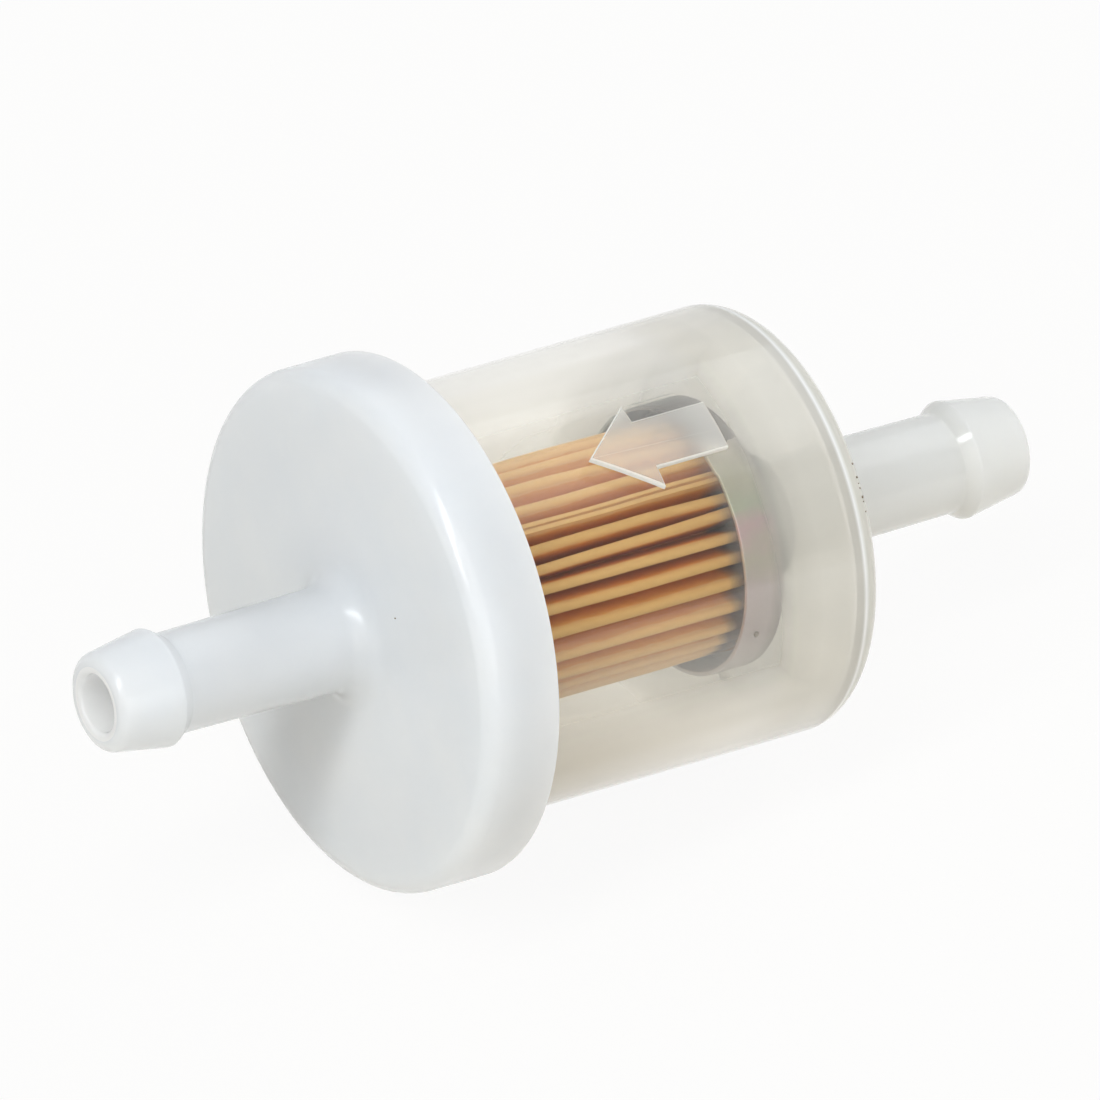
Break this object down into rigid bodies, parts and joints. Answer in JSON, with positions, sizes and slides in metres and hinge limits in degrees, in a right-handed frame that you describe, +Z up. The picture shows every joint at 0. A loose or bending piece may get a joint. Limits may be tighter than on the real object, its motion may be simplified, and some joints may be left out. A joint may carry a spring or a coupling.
{
  "type": "inline fuel filter",
  "caption": "Inline fuel filter, white nylon outlet cap with hose barb, clear nylon bowl with flow arrow and hose barb, pleated paper element with metal end caps.",
  "frame": {"origin": "bottom centre of the bounding box, with the filter lying on the rim of its flange and on the far edge of its bowl", "axes": "+X runs level along the filter from the outlet cap's barb towards the inlet barb on the bowl, +Z is up, +Y is across the filter, and the filter's own axis falls by 7.08 degrees from the cap towards the bowl"},
  "size_m": [0.0682, 0.034, 0.0342],
  "materials": {
    "white_nylon": "smooth white nylon, satin",
    "clear_nylon": "hazy natural nylon, translucent, faintly amber",
    "filter_paper": "resin treated tan paper, matte",
    "zinc_steel": "bright zinc plated sheet with a faint green and pink tint",
    "potting_resin": "cured brown resin",
    "black_rubber": "fuel proof rubber, matte"
  },
  "bodies": {
    "root": {"outlet_cap": "white_nylon", "bowl": "clear_nylon", "paper_element": "filter_paper", "inlet_end_cap": "zinc_steel", "outlet_end_cap": "zinc_steel", "inlet_potting": "potting_resin", "outlet_potting": "potting_resin", "core_tube": "zinc_steel", "seal_grommet": "black_rubber"}
  },
  "joints": []
}
